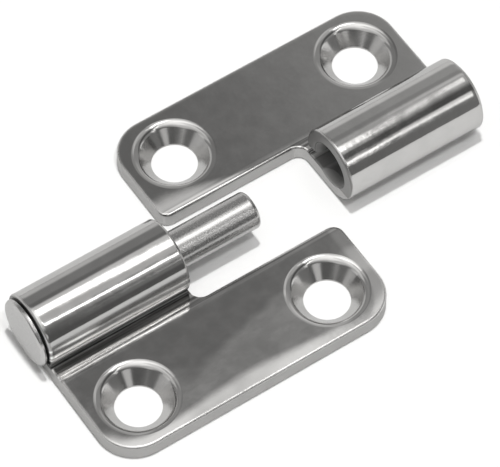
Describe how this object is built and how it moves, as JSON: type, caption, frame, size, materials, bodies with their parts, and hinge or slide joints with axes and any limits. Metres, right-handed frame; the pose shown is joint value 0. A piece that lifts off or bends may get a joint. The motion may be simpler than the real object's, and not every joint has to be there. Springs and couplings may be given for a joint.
{
  "type": "lift off hinge",
  "caption": "Flat lift off hinge in polished stainless sheet: a rolled leaf with a fixed pin and a matching rolled leaf that slides onto it and swings, shown lifted apart.",
  "frame": {"origin": "midway between the pin leaf's two screw holes, on its back face, the face that lies on the mounting surface", "axes": "+X along the hinge axis, the way the socket leaf lifts off; +Z out of the mounting surface towards the knuckles; +Y from the pin leaf towards the socket leaf"},
  "size_m": [0.0639, 0.04, 0.0096],
  "materials": {
    "leaf_polished": "polished",
    "pin_ground": "satin"
  },
  "bodies": {
    "pin_side": {"pin_leaf": "leaf_polished", "hinge_pin": "pin_ground"},
    "carrier": {"end_plug": "pin_ground"},
    "socket_side": {"socket_leaf": "leaf_polished"}
  },
  "joints": [
    {"name": "lift_off", "type": "slide", "parent": "pin_side", "child": "carrier", "axis": [1, 0, 0], "range_m": [-0.02325, 0]},
    {"name": "swing", "type": "hinge", "parent": "carrier", "child": "socket_side", "pos_m": [0.0227, 0.0135, 0.0048], "axis": [1, 0, 0], "range_deg": [-90, 180]}
  ]
}
